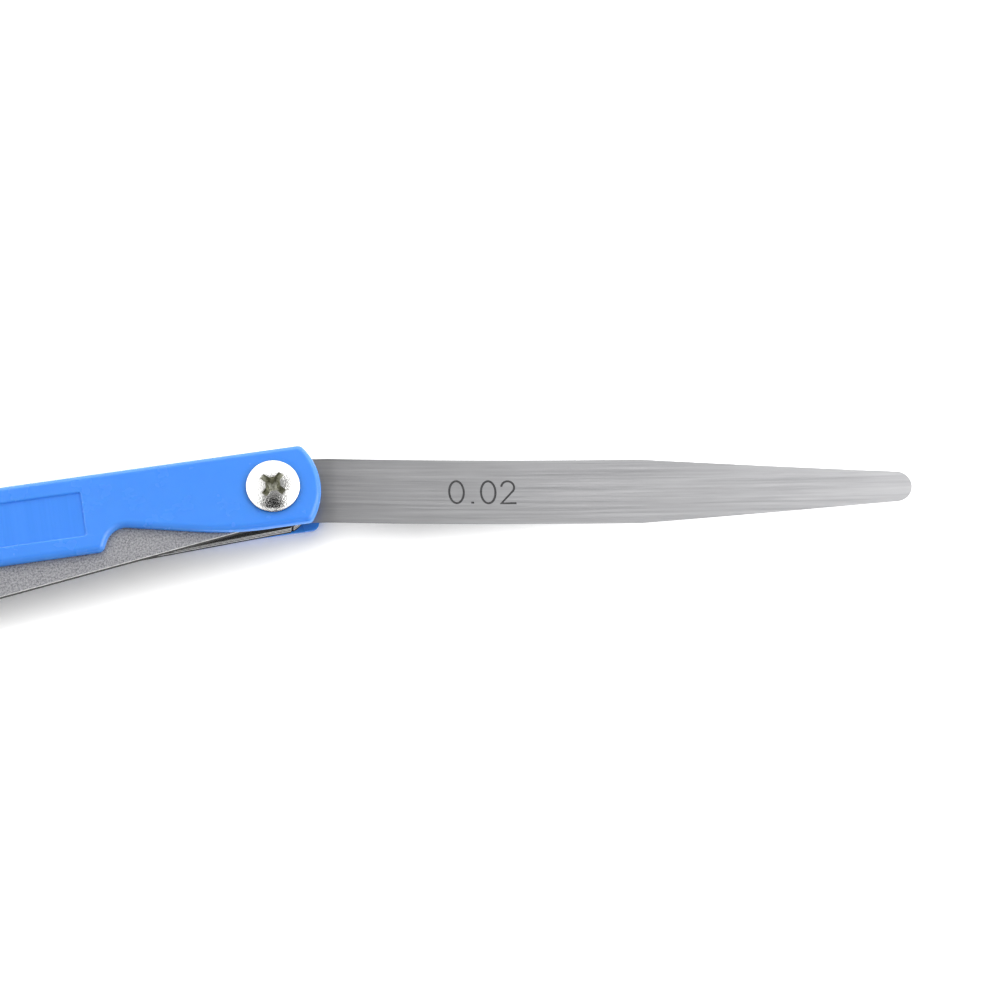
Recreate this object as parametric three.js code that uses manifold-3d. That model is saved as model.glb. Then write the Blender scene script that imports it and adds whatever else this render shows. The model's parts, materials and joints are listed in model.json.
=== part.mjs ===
// A folding feeler gauge: seventeen steel leaves, from 0.02 to 1.00 mm thick, on one pivot between two moulded
// plastic covers. All lengths are millimetres and all angles degrees.
//
// Frame: the origin is on the pivot axis at the flat outer face of the lower cover. +Z runs up the pivot axis to
// the screw head, and +X along the handle from its far end to its nose. The spine that closes the handle's back
// is on the +Y side, so the leaves swing out on the -Y side, and opening is a positive turn about +Z.

import * as THREE from "three";
import { mergeVertices } from "three/addons/utils/BufferGeometryUtils.js";
import Module from "manifold-3d";

const wasm = await Module();
wasm.setup();

// ---- Leaves ----

// From the lower cover to the upper one: the stiff 1.00 mm leaf lies on top and shields the thinnest ones.
const LEAF_THICKNESSES = [
  0.75, 0.5, 0.4, 0.3, 0.25, 0.2, 0.15, 0.1, 0.09, 0.08, 0.07, 0.06, 0.05, 0.04, 0.03, 0.02, 1.0,
];
const LEAF_LENGTH = 100;
const LEAF_WIDTH = 10;
const LEAF_HEEL_RADIUS = 5.3; // the round end behind the pivot
const LEAF_TIP_RADIUS = 2.35;
const LEAF_TAPER_START = 54.4; // from the pivot, where the parallel sides end
const LEAF_HOLE_RADIUS = 2.6;
const LEAF_GAP = 0.14; // oil and air between neighbouring leaves, which are never quite flat
const STACK_GAP = 0.05; // air between the stack and each cover

// The angle each leaf stands out of the handle, where 0 is closed against the spine. One leaf is in use.
const FAN_LOWERMOST = 2.7;
const FAN_UPPERMOST = 7.3;
const FAN_SCATTER = 0.35;
const LEAF_IN_USE = 0.02;
const LEAF_IN_USE_ANGLE = 173.4;

// ---- Covers ----

const COVER_SIDE_Y = 6.08; // from the pivot to the spine, and to the upper cover's open side
const LOWER_OPEN_SIDE_Y = 5.1; // the lower cover stops short, so that a finger can catch the leaves
const COVER_THICKNESS = 1.2;
const COVER_EDGE_ROUND = 0.9; // radius along the edge of the outer face
const COVER_CORNER_RADIUS = 1.1;
const COVER_NOSE_X = 7.05;
const COVER_FAR_X = -101;
const COVER_END_RADIUS = 9.8; // the nose and the far end are shallow arcs
const PARTING_GAP = 0.04; // between the two covers' walls

const SPINE_INNER_Y = 5.15;
const SPINE_END_X = -10; // forward of this the back is open, so that a leaf can swing right round
const END_BLOCK_X = -95.8; // inner face of the solid end that joins the covers
const CAVITY_CORNER_RADIUS = 1;

// The cut-away where a finger pushes the leaves out slopes in from the nose and ends in a hollow step.
const THUMB_START_X = -6.95;
const THUMB_DEEPEST_X = -24.3;
const THUMB_SLOPE = 12.1; // from the handle's length
const THUMB_STEP_LEAN = 26; // from square across the handle
const THUMB_BEND_RADIUS = 50;
const THUMB_HOLLOW_RADIUS = 3;

const LABEL_START_X = -28.1;
const LABEL_LENGTH = 52;
const LABEL_WIDTH = 7.1;
const LABEL_CORNER_RADIUS = 0.4;
const LABEL_DEPTH = 0.3;

// Two pegs on the upper cover's end block press into sockets in the lower cover's.
const PEG_X = -98.4;
const PEG_OFFSET_Y = 2.8;
const PEG_RADIUS = 1.1;
const PEG_LENGTH = 1.9;
const SOCKET_CLEARANCE = 0.05;
const SOCKET_DEPTH = 2.2;

// ---- Pivot: a pan-head screw in a closed sleeve nut, whose smooth barrel carries the leaves ----

const BARREL_RADIUS = 2.5;
const BARREL_HOLE_RADIUS = 2.6; // in the covers
const NUT_FLANGE_WIDTH = 7; // across the flats that stop the nut turning in the lower cover
const NUT_FLANGE_THICKNESS = 0.6;
const NUT_POCKET_CLEARANCE = 0.1;
const NUT_BORE_RADIUS = 2.05;
const NUT_BORE_FLOOR = 1.2;
const BARREL_BELOW_TOP = 0.2; // so that the screw clamps the covers, and not the barrel
const SCREW_RADIUS = 2;
const SCREW_END_HEIGHT = 1.7;
const HEAD_RADIUS = 4;
const HEAD_RIM_HEIGHT = 0.45;
const HEAD_HEIGHT = 1.4;
const SEAT_GAP = 0.02;

const RECESS_SPAN = 4.2; // tip to tip of the cross
const RECESS_WING_WIDTH = 0.95;
const RECESS_CORE_RADIUS = 1.05;
const RECESS_DEPTH = 1.2;
const RECESS_TURN = 44.5;

// ---- Heights that follow from the stack ----

const STACK_HEIGHT = LEAF_THICKNESSES.reduce((sum, t) => sum + t, 0) + (LEAF_THICKNESSES.length - 1) * LEAF_GAP;
const CAVITY_HEIGHT = STACK_HEIGHT + 2 * STACK_GAP;
const HANDLE_HEIGHT = CAVITY_HEIGHT + 2 * COVER_THICKNESS;

// ---- Fineness of curves ----

const CORNER_STEPS = 5;
const ARC_STEPS = 14;
const HOLE_STEPS = 36;
const EDGE_STEPS = 3;

const BEYOND = 3; // how far a cutting solid runs past the face that it cuts

// ---- Plane outlines: arrays of THREE.Vector2, counterclockwise ----

const point = (x, y) => new THREE.Vector2(x, y);
const radians = THREE.MathUtils.degToRad;

// Points along an arc between two angles in radians, both ends included.
function arc(x, y, radius, from, to, steps) {
  return Array.from({ length: steps + 1 }, (_, i) => {
    const angle = from + ((to - from) * i) / steps;
    return point(x + radius * Math.cos(angle), y + radius * Math.sin(angle));
  });
}

function circle(radius, x = 0, y = 0) {
  return arc(x, y, radius, 0, 2 * Math.PI, HOLE_STEPS).slice(1);
}

// A polygon whose corners are [x, y] or [x, y, radius], with each radius worked in as an arc.
function polygon(corners) {
  return corners.flatMap(([x, y, radius = 0], i) => {
    const corner = point(x, y);
    if (radius === 0) return [corner];
    const before = point(...corners.at(i - 1)).sub(corner).normalize();
    const after = point(...corners[(i + 1) % corners.length]).sub(corner).normalize();
    const halfAngle = Math.acos(before.dot(after)) / 2;
    const middle = before.clone().add(after).normalize();
    const centre = middle.multiplyScalar(radius / Math.sin(halfAngle)).add(corner);
    const start = before.multiplyScalar(radius / Math.tan(halfAngle)).add(corner).sub(centre);
    const end = after.multiplyScalar(radius / Math.tan(halfAngle)).add(corner).sub(centre);
    const from = Math.atan2(start.y, start.x);
    return arc(centre.x, centre.y, radius, from, from + Math.atan2(start.cross(end), start.dot(end)), CORNER_STEPS);
  });
}

function rectangle(x0, y0, x1, y1, radius = 0) {
  return polygon([
    [x0, y0, radius],
    [x1, y0, radius],
    [x1, y1, radius],
    [x0, y1, radius],
  ]);
}

// The leaf lies along +X with its pivot at the origin.
function leafOutline() {
  const side = LEAF_WIDTH / 2;
  const tipX = LEAF_LENGTH - LEAF_HEEL_RADIUS - LEAF_TIP_RADIUS;
  const run = tipX - LEAF_TAPER_START;
  const heel = Math.asin(side / LEAF_HEEL_RADIUS);
  // Each tapering side runs from the end of the parallel side to touch the tip's arc.
  const touch = Math.acos(LEAF_TIP_RADIUS / Math.hypot(run, side)) - Math.atan2(run, side) + Math.PI / 2;
  return [
    ...arc(0, 0, LEAF_HEEL_RADIUS, Math.PI - heel, Math.PI + heel, ARC_STEPS),
    point(LEAF_TAPER_START, -side),
    ...arc(tipX, 0, LEAF_TIP_RADIUS, -touch, touch, ARC_STEPS),
    point(LEAF_TAPER_START, side),
  ];
}

// One end of a cover, facing +X, between its sides at -right and +left: a shallow arc that rounds into both.
function endOutline(x, right, left) {
  const centreX = x - COVER_END_RADIUS;
  const inner = COVER_END_RADIUS - COVER_CORNER_RADIUS;
  const rightBlend = Math.asin((right - COVER_CORNER_RADIUS) / inner);
  const leftBlend = Math.asin((left - COVER_CORNER_RADIUS) / inner);
  const rightCorner = point(centreX + inner * Math.cos(rightBlend), COVER_CORNER_RADIUS - right);
  const leftCorner = point(centreX + inner * Math.cos(leftBlend), left - COVER_CORNER_RADIUS);
  return [
    ...arc(rightCorner.x, rightCorner.y, COVER_CORNER_RADIUS, -Math.PI / 2, -rightBlend, CORNER_STEPS),
    ...arc(centreX, 0, COVER_END_RADIUS, -rightBlend, leftBlend, ARC_STEPS).slice(1, -1),
    ...arc(leftCorner.x, leftCorner.y, COVER_CORNER_RADIUS, leftBlend, Math.PI / 2, CORNER_STEPS),
  ];
}

// The thumb cut is the same in both covers, though their open sides aren't equally far from the pivot.
function coverOutline(openSide) {
  const slope = Math.tan(radians(THUMB_SLOPE));
  const startX = THUMB_START_X - (COVER_SIDE_Y - openSide) / slope;
  const deepestY = -COVER_SIDE_Y + (THUMB_START_X - THUMB_DEEPEST_X) * slope;
  const stepX = THUMB_DEEPEST_X - (openSide + deepestY) * Math.tan(radians(THUMB_STEP_LEAN));
  const farEnd = endOutline(-COVER_FAR_X, COVER_SIDE_Y, openSide).map((p) => point(-p.x, -p.y));
  const thumbCut = polygon([
    [COVER_FAR_X / 2, -openSide],
    [stepX, -openSide, COVER_CORNER_RADIUS],
    [THUMB_DEEPEST_X, deepestY, THUMB_HOLLOW_RADIUS],
    [startX, -openSide, THUMB_BEND_RADIUS],
    [COVER_NOSE_X / 2, -openSide],
  ]);
  return [...endOutline(COVER_NOSE_X, openSide, COVER_SIDE_Y), ...farEnd, ...thumbCut.slice(1, -1)];
}

// ---- Solids ----

function solid(geometry) {
  const bare = geometry.clone();
  bare.deleteAttribute("normal");
  bare.deleteAttribute("uv");
  const merged = mergeVertices(bare, 1e-5);
  return new wasm.Manifold(
    new wasm.Mesh({
      numProp: 3,
      vertProperties: new Float32Array(merged.attributes.position.array),
      triVerts: new Uint32Array(merged.index.array),
    }),
  );
}

// A straight prism between two heights, with an optional radius along the edges of both end faces.
function prism(outline, bottom, top, edgeRound = 0) {
  const geometry = new THREE.ExtrudeGeometry(new THREE.Shape(outline), {
    depth: top - bottom - 2 * edgeRound,
    bevelEnabled: edgeRound > 0,
    bevelSize: edgeRound,
    bevelThickness: edgeRound,
    bevelOffset: -edgeRound,
    bevelSegments: EDGE_STEPS,
  });
  return solid(geometry.translate(0, 0, bottom + edgeRound));
}

// A solid of revolution about the pivot axis, from points of radius and height that rise from axis to axis.
function turned(profile) {
  return solid(new THREE.LatheGeometry(profile, HOLE_STEPS).rotateX(Math.PI / 2));
}

function cylinder(radius, bottom, top, x = 0, y = 0) {
  return prism(circle(radius, x, y), bottom, top);
}

function mesh(name, shape, material) {
  const { vertProperties, triVerts } = shape.getMesh();
  const geometry = new THREE.BufferGeometry();
  geometry.setAttribute("position", new THREE.BufferAttribute(vertProperties, 3));
  geometry.setIndex(new THREE.BufferAttribute(triVerts, 1));
  geometry.computeVertexNormals();
  const part = new THREE.Mesh(geometry, material);
  part.name = name;
  return part;
}

// ---- Materials ----

const bluePlastic = new THREE.MeshStandardMaterial({ color: 0x2f78f0, roughness: 0.25, metalness: 0 });
const brushedSteel = new THREE.MeshStandardMaterial({ color: 0xb4b4b6, roughness: 0.35, metalness: 1 });
const grainedSteel = new THREE.MeshStandardMaterial({ color: 0xa2a2a5, roughness: 0.6, metalness: 1 });
const platedSteel = new THREE.MeshStandardMaterial({ color: 0xdcdcde, roughness: 0.15, metalness: 1 });

// ---- Pieces ----

// Half of the handle, with its outer face at z = 0 and its wall rising to the parting plane.
function coverShell(openSide) {
  const parting = (HANDLE_HEIGHT - PARTING_GAP) / 2;
  const outside = COVER_SIDE_Y + BEYOND;
  const body = prism(coverOutline(openSide), 0, parting + BEYOND, COVER_EDGE_ROUND);
  const above = rectangle(COVER_FAR_X - BEYOND, -outside, COVER_NOSE_X + BEYOND, outside);
  const cavity = polygon([
    [END_BLOCK_X, -outside],
    [COVER_NOSE_X + BEYOND, -outside],
    [COVER_NOSE_X + BEYOND, outside],
    [SPINE_END_X, outside],
    [SPINE_END_X, SPINE_INNER_Y],
    [END_BLOCK_X, SPINE_INNER_Y, CAVITY_CORNER_RADIUS],
  ]);
  return body
    .subtract(prism(above, parting, parting + 2 * BEYOND))
    .subtract(prism(cavity, COVER_THICKNESS, parting + 2 * BEYOND))
    .subtract(cylinder(BARREL_HOLE_RADIUS, -BEYOND, COVER_THICKNESS + BEYOND));
}

function hexagon(widthAcrossFlats) {
  const radius = widthAcrossFlats / 2 / Math.cos(Math.PI / 6);
  return arc(0, 0, radius, 0, 2 * Math.PI, 6).slice(1);
}

const PEG_SIDES = [-PEG_OFFSET_Y, PEG_OFFSET_Y];

function lowerCover() {
  const parting = (HANDLE_HEIGHT - PARTING_GAP) / 2;
  const pocket = hexagon(NUT_FLANGE_WIDTH + 2 * NUT_POCKET_CLEARANCE);
  let shape = coverShell(LOWER_OPEN_SIDE_Y).subtract(prism(pocket, -BEYOND, NUT_FLANGE_THICKNESS + SEAT_GAP));
  for (const y of PEG_SIDES) {
    const socket = cylinder(PEG_RADIUS + SOCKET_CLEARANCE, parting - SOCKET_DEPTH, parting + BEYOND, PEG_X, y);
    shape = shape.subtract(socket);
  }
  return mesh("lower_cover", shape, bluePlastic);
}

// A wider shell turned upside down, with the label panel sunk in its outer face.
function upperCover() {
  const parting = (HANDLE_HEIGHT + PARTING_GAP) / 2;
  let shape = coverShell(COVER_SIDE_Y).mirror([0, 0, 1]).translate([0, 0, HANDLE_HEIGHT]);
  for (const y of PEG_SIDES) {
    shape = shape.add(cylinder(PEG_RADIUS, parting - PEG_LENGTH, parting + PEG_RADIUS, PEG_X, y));
  }
  const label = rectangle(
    LABEL_START_X - LABEL_LENGTH,
    -LABEL_WIDTH / 2,
    LABEL_START_X,
    LABEL_WIDTH / 2,
    LABEL_CORNER_RADIUS,
  );
  shape = shape.subtract(prism(label, HANDLE_HEIGHT - LABEL_DEPTH, HANDLE_HEIGHT + BEYOND));
  return mesh("upper_cover", shape, bluePlastic);
}

function sleeveNut() {
  const shape = prism(hexagon(NUT_FLANGE_WIDTH), 0, NUT_FLANGE_THICKNESS)
    .add(cylinder(BARREL_RADIUS, 0, HANDLE_HEIGHT - BARREL_BELOW_TOP))
    .subtract(cylinder(NUT_BORE_RADIUS, NUT_BORE_FLOOR, HANDLE_HEIGHT + BEYOND));
  return mesh("sleeve_nut", shape, platedSteel);
}

function pivotScrew() {
  const seat = HANDLE_HEIGHT + SEAT_GAP;
  const domeRise = HEAD_HEIGHT - HEAD_RIM_HEIGHT;
  const domeRadius = (HEAD_RADIUS ** 2 + domeRise ** 2) / (2 * domeRise);
  const domeCentre = seat + HEAD_HEIGHT - domeRadius;
  const dome = arc(0, domeCentre, domeRadius, Math.acos(HEAD_RADIUS / domeRadius), Math.PI / 2, CORNER_STEPS);
  const profile = [
    point(0, SCREW_END_HEIGHT),
    point(SCREW_RADIUS, SCREW_END_HEIGHT),
    point(SCREW_RADIUS, seat),
    point(HEAD_RADIUS, seat),
    ...dome.slice(0, -1),
    point(0, seat + HEAD_HEIGHT),
  ];
  const recessFloor = seat + HEAD_HEIGHT - RECESS_DEPTH;
  const wing = rectangle(-RECESS_SPAN / 2, -RECESS_WING_WIDTH / 2, RECESS_SPAN / 2, RECESS_WING_WIDTH / 2);
  let shape = turned(profile).subtract(cylinder(RECESS_CORE_RADIUS, recessFloor, seat + HEAD_HEIGHT + BEYOND));
  for (const turn of [RECESS_TURN, RECESS_TURN + 90]) {
    const cut = prism(wing, recessFloor, seat + HEAD_HEIGHT + BEYOND).rotate([0, 0, turn]);
    shape = shape.subtract(cut);
  }
  return mesh("pivot_screw", shape, platedSteel);
}

const leafName = (thickness) => `leaf_${thickness.toFixed(2).replace(".", "_")}`;

// A steady spread from the lowest leaf to the highest, with a small unevenness as a hand leaves it.
function fanAngle(index, thickness) {
  if (thickness === LEAF_IN_USE) return LEAF_IN_USE_ANGLE;
  const rise = index / (LEAF_THICKNESSES.length - 1);
  return FAN_LOWERMOST + (FAN_UPPERMOST - FAN_LOWERMOST) * rise - FAN_SCATTER * Math.sin(7 * index);
}

function leaves() {
  const outline = leafOutline();
  let bottom = COVER_THICKNESS + STACK_GAP;
  return LEAF_THICKNESSES.map((thickness, index) => {
    const shape = prism(outline, 0, thickness).subtract(cylinder(LEAF_HOLE_RADIUS, -BEYOND, thickness + BEYOND));
    const leaf = mesh(leafName(thickness), shape, thickness === 1 ? grainedSteel : brushedSteel);
    leaf.position.z = bottom;
    leaf.rotation.z = Math.PI + radians(fanAngle(index, thickness));
    bottom += thickness + LEAF_GAP;
    return leaf;
  });
}

const feelerGauge = new THREE.Group();
feelerGauge.add(lowerCover(), upperCover(), sleeveNut(), pivotScrew(), ...leaves());

export default feelerGauge;
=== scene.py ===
"""Looks for the folding feeler gauge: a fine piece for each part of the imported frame, in metres."""

import json
import math

import bmesh
import bpy
from mathutils import Matrix, Vector


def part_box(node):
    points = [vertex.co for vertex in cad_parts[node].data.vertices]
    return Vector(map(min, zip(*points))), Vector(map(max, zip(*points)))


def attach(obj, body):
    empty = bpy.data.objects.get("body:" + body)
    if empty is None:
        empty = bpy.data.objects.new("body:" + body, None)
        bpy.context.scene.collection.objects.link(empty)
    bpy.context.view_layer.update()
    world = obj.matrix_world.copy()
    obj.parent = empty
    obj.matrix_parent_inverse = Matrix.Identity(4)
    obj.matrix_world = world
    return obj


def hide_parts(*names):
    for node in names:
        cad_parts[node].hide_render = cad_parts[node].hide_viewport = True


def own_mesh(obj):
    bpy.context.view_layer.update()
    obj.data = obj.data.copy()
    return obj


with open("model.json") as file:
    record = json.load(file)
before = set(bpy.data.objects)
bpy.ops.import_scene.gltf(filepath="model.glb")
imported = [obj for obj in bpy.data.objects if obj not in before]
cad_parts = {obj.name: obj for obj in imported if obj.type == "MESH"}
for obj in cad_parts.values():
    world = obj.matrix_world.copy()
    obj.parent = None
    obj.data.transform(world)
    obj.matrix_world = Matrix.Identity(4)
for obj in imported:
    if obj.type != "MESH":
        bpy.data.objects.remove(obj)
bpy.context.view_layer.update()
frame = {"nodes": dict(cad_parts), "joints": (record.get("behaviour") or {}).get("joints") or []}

MM = 0.001

# ---- Places that the frame gives ----

COVER_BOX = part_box("upper_cover")
LOWER_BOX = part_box("lower_cover")
SCREW_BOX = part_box("pivot_screw")
NUT_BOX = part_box("sleeve_nut")
TOP_Z = COVER_BOX[1][2]  # the upper cover's outer face
NOSE_X = COVER_BOX[1][0]
FAR_X = COVER_BOX[0][0]
SIDE_Y = COVER_BOX[1][1]
LOWER_SIDE_INSET = 0.12 * MM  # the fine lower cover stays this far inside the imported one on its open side
LOWER_SIDE_Y = -LOWER_BOX[0][1] - LOWER_SIDE_INSET
LEAVES = sorted(node for node in frame["nodes"] if node.startswith("leaf_"))
JOINTS = {joint["child"]: joint for joint in frame["joints"]}

# ---- Sizes that the frame doesn't give, in metres and degrees ----

LEAF_LENGTH = 100 * MM
LEAF_WIDTH = 10 * MM
LEAF_HEEL_RADIUS = 5.3 * MM
LEAF_TIP_RADIUS = 2.35 * MM
LEAF_TAPER_START = 54.4 * MM
LEAF_TAPER_BLEND = 8 * MM
LEAF_HOLE_RADIUS = 2.6 * MM
LEAF_CORNER_RADIUS = 0.3 * MM
LEAF_CHAMFER = 0.08 * MM

COVER_THICKNESS = 1.2 * MM
COVER_EDGE_ROUND = 0.9 * MM
COVER_CORNER_RADIUS = 1.1 * MM
COVER_END_RADIUS = 9.8 * MM
SPINE_INNER_Y = 5.15 * MM
SPINE_END_X = -10 * MM
END_BLOCK_X = -95.8 * MM
BARREL_HOLE_RADIUS = 2.6 * MM
BARREL_RADIUS = 2.5 * MM
THUMB_START_X = -6.95 * MM
THUMB_DEEPEST_X = -24.3 * MM
THUMB_SLOPE = 12.1
THUMB_STEP_LEAN = 26
THUMB_BEND_RADIUS = 50 * MM
THUMB_HOLLOW_RADIUS = 3 * MM
LABEL_START_X = -28.1 * MM
LABEL_LENGTH = 52 * MM
LABEL_WIDTH = 7.1 * MM
LABEL_DEPTH = 0.3 * MM
LABEL_CORNER_RADIUS = 0.5 * MM
PEG_X = -98.4 * MM
PEG_OFFSET_Y = 2.8 * MM
PEG_RADIUS = 1.1 * MM
PEG_LENGTH = 1.9 * MM
PEG_ROUND = 0.15 * MM
SOCKET_RADIUS = 1.15 * MM
SOCKET_DEPTH = 2.2 * MM
EDGE_BREAK = 0.12 * MM  # the small radius that a mould leaves on the inner edges

HEAD_RADIUS = 4 * MM
HEAD_RIM_HEIGHT = 0.45 * MM
HEAD_EDGE_ROUND = 0.15 * MM
HEAD_UNDER_ROUND = 0.12 * MM
HEAD_SEAT_GAP = 0.02 * MM
SCREW_RADIUS = 2 * MM
SCREW_END_CHAMFER = 0.3 * MM
RECESS_REACH = 2.25 * MM
RECESS_WING_WIDTH = 0.95 * MM
RECESS_CORE_RADIUS = 1 * MM
RECESS_DEPTH = 1.6 * MM
RECESS_BEVEL = 0.12 * MM
RECESS_FLOOR_REACH = 0.42  # of the reach at the top
RECESS_FLOOR_WIDTH = 0.62  # of the width at the top
RECESS_FLOOR_RADIUS = 0.55 * MM
RECESS_POINT_DEPTH = 0.25 * MM
RECESS_TURN = 44.5
NUT_FLANGE_WIDTH = 7 * MM
NUT_FLANGE_THICKNESS = 0.6 * MM
NUT_CORNER_RADIUS = 0.25 * MM
NUT_POCKET_CLEARANCE = 0.2 * MM
NUT_EDGE_ROUND = 0.12 * MM
NUT_BORE_CLEARANCE = 0.05 * MM
NUT_BORE_FLOOR = 1.2 * MM
DIMPLE_RADIUS = 0.9 * MM
DIMPLE_DEPTH = 0.25 * MM

FLOOR_Z = -0.02 * MM
BEYOND = 3 * MM  # how far a cutting solid runs past the face that it cuts
SAME = 1e-6  # heights that differ by less than this are one height
SHARP_ANGLE = math.radians(50)


# ---- Outlines ----
# An outline is a list of (point, outward): point - inset * outward is the same outline drawn in by inset.

def arc(x, y, radius, start, end, steps, hollow=False):
    """Points along an arc between two angles in radians. A hollow arc's outward side faces its centre."""
    points = []
    for i in range(steps + 1):
        angle = start + (end - start) * i / steps
        ray = Vector((math.cos(angle), math.sin(angle)))
        points.append((Vector((x, y)) + radius * ray, -ray if hollow else ray))
    return points


def circle(radius, x=0.0, y=0.0, steps=64):
    return arc(x, y, radius, 0, 2 * math.pi, steps)[1:]


def polygon(corners, steps=8):
    """A counterclockwise outline whose corners are (x, y, radius), with each corner worked in as an arc."""
    outline = []
    for i, (x, y, radius) in enumerate(corners):
        corner = Vector((x, y))
        before = (Vector(corners[i - 1][:2]) - corner).normalized()
        after = (Vector(corners[(i + 1) % len(corners)][:2]) - corner).normalized()
        hollow = before.x * after.y - before.y * after.x > 0
        half = math.acos(max(-1, min(1, before.dot(after)))) / 2
        middle = (before + after).normalized()
        if radius == 0:
            outline.append((corner, middle * (1 if hollow else -1) / max(0.1, math.sin(half))))
            continue
        centre = corner + middle * radius / math.sin(half)
        start = corner + before * radius / math.tan(half) - centre
        end = corner + after * radius / math.tan(half) - centre
        turn = math.atan2(start.x * end.y - start.y * end.x, start.dot(end))
        first = math.atan2(start.y, start.x)
        outline += arc(centre.x, centre.y, radius, first, first + turn, steps, hollow)
    return outline


def rectangle(x0, y0, x1, y1, radius=0.0):
    return polygon([(x0, y0, radius), (x1, y0, radius), (x1, y1, radius), (x0, y1, radius)])


def end_outline(x, right, left):
    """One end of a cover, facing +X: a shallow arc that rounds into its sides at -right and +left."""
    centre_x = x - COVER_END_RADIUS
    inner = COVER_END_RADIUS - COVER_CORNER_RADIUS
    low = math.asin((right - COVER_CORNER_RADIUS) / inner)
    high = math.asin((left - COVER_CORNER_RADIUS) / inner)
    low_x, low_y = centre_x + inner * math.cos(low), COVER_CORNER_RADIUS - right
    high_x, high_y = centre_x + inner * math.cos(high), left - COVER_CORNER_RADIUS
    return (
        arc(low_x, low_y, COVER_CORNER_RADIUS, -math.pi / 2, -low, 10)
        + arc(centre_x, 0, COVER_END_RADIUS, -low, high, 32)[1:-1]
        + arc(high_x, high_y, COVER_CORNER_RADIUS, high, math.pi / 2, 10)
    )


def cover_outline(open_side):
    slope = math.tan(math.radians(THUMB_SLOPE))
    start_x = THUMB_START_X - (SIDE_Y - open_side) / slope
    deepest_y = -SIDE_Y + (THUMB_START_X - THUMB_DEEPEST_X) * slope
    step_x = THUMB_DEEPEST_X - (open_side + deepest_y) * math.tan(math.radians(THUMB_STEP_LEAN))
    far_end = [(-p, -o) for p, o in end_outline(-FAR_X, SIDE_Y, open_side)]
    thumb_cut = polygon([
        (FAR_X / 2, -open_side, 0),
        (step_x, -open_side, COVER_CORNER_RADIUS),
        (THUMB_DEEPEST_X, deepest_y, THUMB_HOLLOW_RADIUS),
        (start_x, -open_side, THUMB_BEND_RADIUS),
        (NOSE_X / 2, -open_side, 0),
    ], steps=12)
    return end_outline(NOSE_X, open_side, SIDE_Y) + far_end + thumb_cut[1:-1]


def leaf_outline():
    """The leaf lies along +X with its pivot at the origin."""
    side = LEAF_WIDTH / 2
    tip_x = LEAF_LENGTH - LEAF_HEEL_RADIUS - LEAF_TIP_RADIUS
    run = tip_x - LEAF_TAPER_START
    heel = math.asin(side / LEAF_HEEL_RADIUS)
    touch = math.acos(LEAF_TIP_RADIUS / math.hypot(run, side)) - math.atan2(run, side) + math.pi / 2
    heel_x = -LEAF_HEEL_RADIUS * math.cos(heel)
    touch_x = tip_x + LEAF_TIP_RADIUS * math.cos(touch)
    touch_y = LEAF_TIP_RADIUS * math.sin(touch)
    low_side = polygon([
        (heel_x, 0, 0),
        (heel_x, -side, LEAF_CORNER_RADIUS),
        (LEAF_TAPER_START, -side, LEAF_TAPER_BLEND),
        (touch_x, -touch_y, 0),
        (touch_x, 0, 0),
    ])[1:-2]
    high_side = [(Vector((p.x, -p.y)), Vector((o.x, -o.y))) for p, o in reversed(low_side)]
    heel_end = math.pi - heel + 0.06
    return (
        low_side
        + arc(tip_x, 0, LEAF_TIP_RADIUS, -touch, touch, 24)
        + high_side
        + arc(0, 0, LEAF_HEEL_RADIUS, heel_end, 2 * math.pi - heel_end, 32)
    )


# ---- Meshes ----

def loft(outline, layers):
    """A closed solid through layers of (inset, z), with its first and last layers capped."""
    shape = bmesh.new()
    rings = [
        [shape.verts.new((*(point - inset * outward), z)) for point, outward in outline]
        for inset, z in layers
    ]
    count = len(outline)
    for lower, upper in zip(rings, rings[1:]):
        for i in range(count):
            j = (i + 1) % count
            shape.faces.new((lower[i], lower[j], upper[j], upper[i]))
    shape.faces.new(list(reversed(rings[0])))
    shape.faces.new(rings[-1])
    return shape


def turned(profile, steps=96):
    """A solid of revolution about the pivot axis, from (radius, z) points that start and end on the axis."""
    shape = bmesh.new()
    bottom = shape.verts.new((0, 0, profile[0][1]))
    top = shape.verts.new((0, 0, profile[-1][1]))
    rings = [
        [
            shape.verts.new((r * math.cos(a), r * math.sin(a), z))
            for a in (2 * math.pi * i / steps for i in range(steps))
        ]
        for r, z in profile[1:-1]
    ]
    for i in range(steps):
        j = (i + 1) % steps
        shape.faces.new((bottom, rings[0][j], rings[0][i]))
        shape.faces.new((top, rings[-1][i], rings[-1][j]))
        for lower, upper in zip(rings, rings[1:]):
            shape.faces.new((lower[i], lower[j], upper[j], upper[i]))
    return shape


def to_object(name, shape):
    """Turns a bmesh into an object in the scene."""
    mesh = bpy.data.meshes.new(name)
    shape.to_mesh(mesh)
    shape.free()
    piece = bpy.data.objects.new(name, mesh)
    bpy.context.scene.collection.objects.link(piece)
    return piece


def combine(piece, tools, operation):
    """Joins solids to a piece, or cuts them out of it, and applies the result to its mesh."""
    for shape in tools:
        tool = to_object("tool", shape)
        modifier = piece.modifiers.new("combine", "BOOLEAN")
        modifier.operation = operation
        modifier.solver = "EXACT"
        modifier.object = tool
        graph = bpy.context.evaluated_depsgraph_get()
        mesh = bpy.data.meshes.new_from_object(piece.evaluated_get(graph))
        piece.modifiers.clear()
        piece.data = mesh
        bpy.data.objects.remove(tool)


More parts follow.
